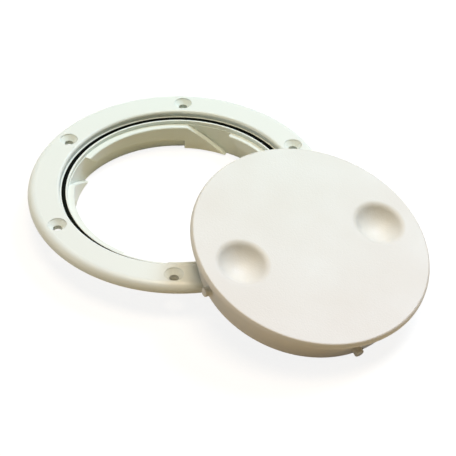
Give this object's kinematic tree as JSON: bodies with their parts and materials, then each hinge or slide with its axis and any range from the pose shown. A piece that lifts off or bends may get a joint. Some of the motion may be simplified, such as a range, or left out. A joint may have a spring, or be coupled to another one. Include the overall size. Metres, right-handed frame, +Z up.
{
  "type": "deck inspection plate",
  "caption": "Round flanged deck ring with countersunk screw holes, a sealing ring and bayonet cams in its opening, and a lift-out lid with finger dimples and pegs, taken off and leaning on it.",
  "frame": {"origin": "on the axis of the mounting ring, in the plane of the flange's underside, which is the deck's surface", "axes": "+Z up out of the deck along the ring's axis; the lid leans towards +X and -Y; the first screw hole lies half a degree past +Y"},
  "size_m": [0.1867, 0.1785, 0.0456],
  "materials": {
    "ring_moulding": "semi-gloss moulded, off-white",
    "lid_moulding": "semi-gloss moulded, off-white",
    "seal_rubber": "smooth black rubber"
  },
  "bodies": {
    "root": {"mounting_ring": "ring_moulding", "o_ring": "seal_rubber", "lid": "lid_moulding"}
  },
  "joints": []
}
